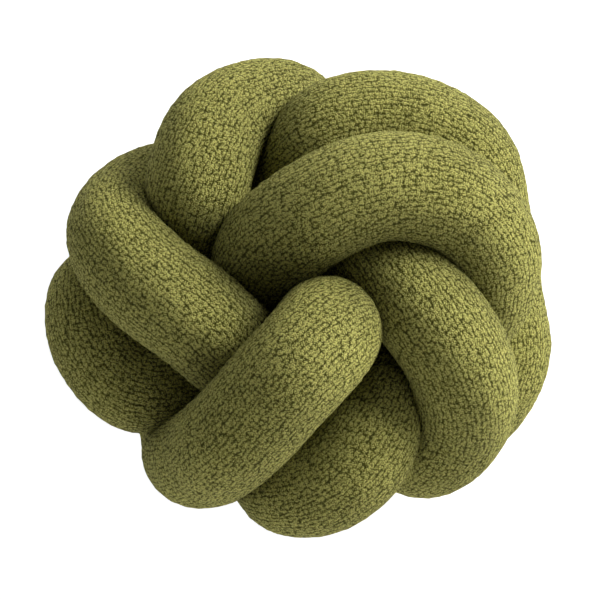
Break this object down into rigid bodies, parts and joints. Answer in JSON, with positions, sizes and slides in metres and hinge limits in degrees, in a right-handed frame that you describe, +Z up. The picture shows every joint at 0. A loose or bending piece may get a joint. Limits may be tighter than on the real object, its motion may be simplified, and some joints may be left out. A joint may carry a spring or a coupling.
{
  "type": "knot cushion",
  "caption": "Round cushion made of a thick stuffed knit tube tied into a ball-like knot.",
  "frame": {"origin": "centre of the bounding box's base, on the surface that the cushion rests on", "axes": "+Z up out of the cushion's face, +Y towards the top of the picture, +X to the right in the picture"},
  "size_m": [0.329, 0.3048, 0.2661],
  "materials": {
    "knit": "pebbly olive green knit, matte"
  },
  "bodies": {
    "root": {"knotted_tube": "knit"}
  },
  "joints": []
}
